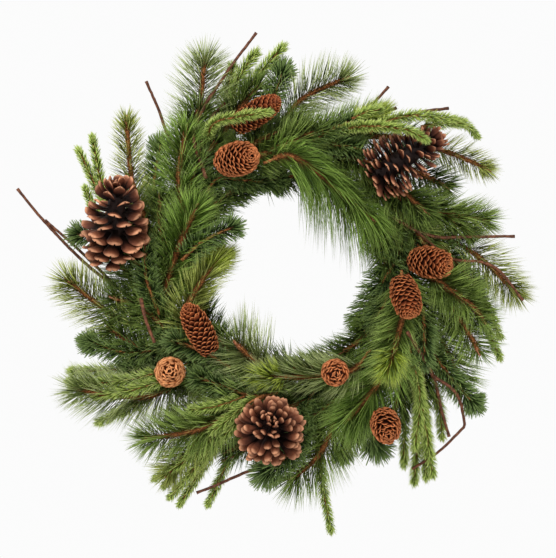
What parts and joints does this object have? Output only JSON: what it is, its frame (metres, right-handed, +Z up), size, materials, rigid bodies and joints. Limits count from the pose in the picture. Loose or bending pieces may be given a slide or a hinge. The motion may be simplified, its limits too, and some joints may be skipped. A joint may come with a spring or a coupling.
{
  "type": "evergreen wreath",
  "caption": "Round door wreath of pine, spruce and fir sprigs with closed and open conifer cones and bare twigs, bound on a wire ring that hangs from a loop.",
  "frame": {"origin": "the hanging point: the inside top of the hanger loop, level with the wall plane behind the wreath", "axes": "+Z up, +X to the right seen from the front, -Y out of the wall towards the viewer"},
  "size_m": [0.6225, 0.128, 0.6082],
  "materials": {
    "frame_wire": "satin green enamel",
    "binding_wire": "bright drawn wire",
    "pine_needles": "waxy needles",
    "fir_needles": "waxy needles",
    "spruce_needles": "waxy needles",
    "twig_bark": "smooth bark",
    "cone_rust": "dry scales",
    "cone_brown": "dry scales"
  },
  "bodies": {
    "root": {"binding_tie_01": "binding_wire", "binding_tie_02": "binding_wire", "binding_tie_03": "binding_wire", "cone_large_01": "cone_brown", "cone_large_02": "cone_brown", "cone_large_03": "cone_brown", "cone_small_01": "cone_rust", "cone_small_02": "cone_rust", "cone_small_03": "cone_rust", "cone_small_04": "cone_rust", "cone_small_05": "cone_rust", "cone_small_06": "cone_rust", "cone_small_07": "cone_rust", "cone_small_08": "cone_rust", "fir_sprig_01": "fir_needles", "fir_sprig_02": "fir_needles", "fir_sprig_03": "fir_needles", "fir_sprig_04": "fir_needles", "fir_sprig_05": "fir_needles", "fir_sprig_06": "fir_needles", "fir_sprig_07": "fir_needles", "hanger_loop": "binding_wire", "pine_sprig_01": "pine_needles", "pine_sprig_02": "pine_needles", "pine_sprig_03": "pine_needles", "pine_sprig_04": "pine_needles", "pine_sprig_05": "pine_needles", "pine_sprig_06": "pine_needles", "pine_sprig_07": "pine_needles", "pine_sprig_08": "pine_needles", "pine_sprig_09": "pine_needles", "pine_sprig_10": "pine_needles", "pine_sprig_11": "pine_needles", "pine_sprig_12": "pine_needles", "pine_sprig_13": "pine_needles", "pine_sprig_14": "pine_needles", "pine_sprig_15": "pine_needles", "pine_sprig_16": "pine_needles", "pine_sprig_17": "pine_needles", "pine_sprig_18": "pine_needles", "pine_sprig_19": "pine_needles", "pine_sprig_20": "pine_needles", "spruce_spray_bottom": "spruce_needles", "spruce_spray_bottom_left": "spruce_needles", "spruce_spray_left": "spruce_needles", "spruce_spray_lower_left": "spruce_needles", "spruce_spray_lower_right": "spruce_needles", "spruce_spray_right": "spruce_needles", "spruce_spray_top": "spruce_needles", "spruce_spray_top_left": "spruce_needles", "spruce_spray_top_right": "spruce_needles", "spruce_spray_upper_right": "spruce_needles", "twig_bottom": "twig_bark", "twig_left": "twig_bark", "twig_lower_right": "twig_bark", "twig_right": "twig_bark", "twig_top": "twig_bark", "twig_top_right": "twig_bark", "twig_upper_left": "twig_bark", "wire_frame": "frame_wire"}
  },
  "joints": []
}
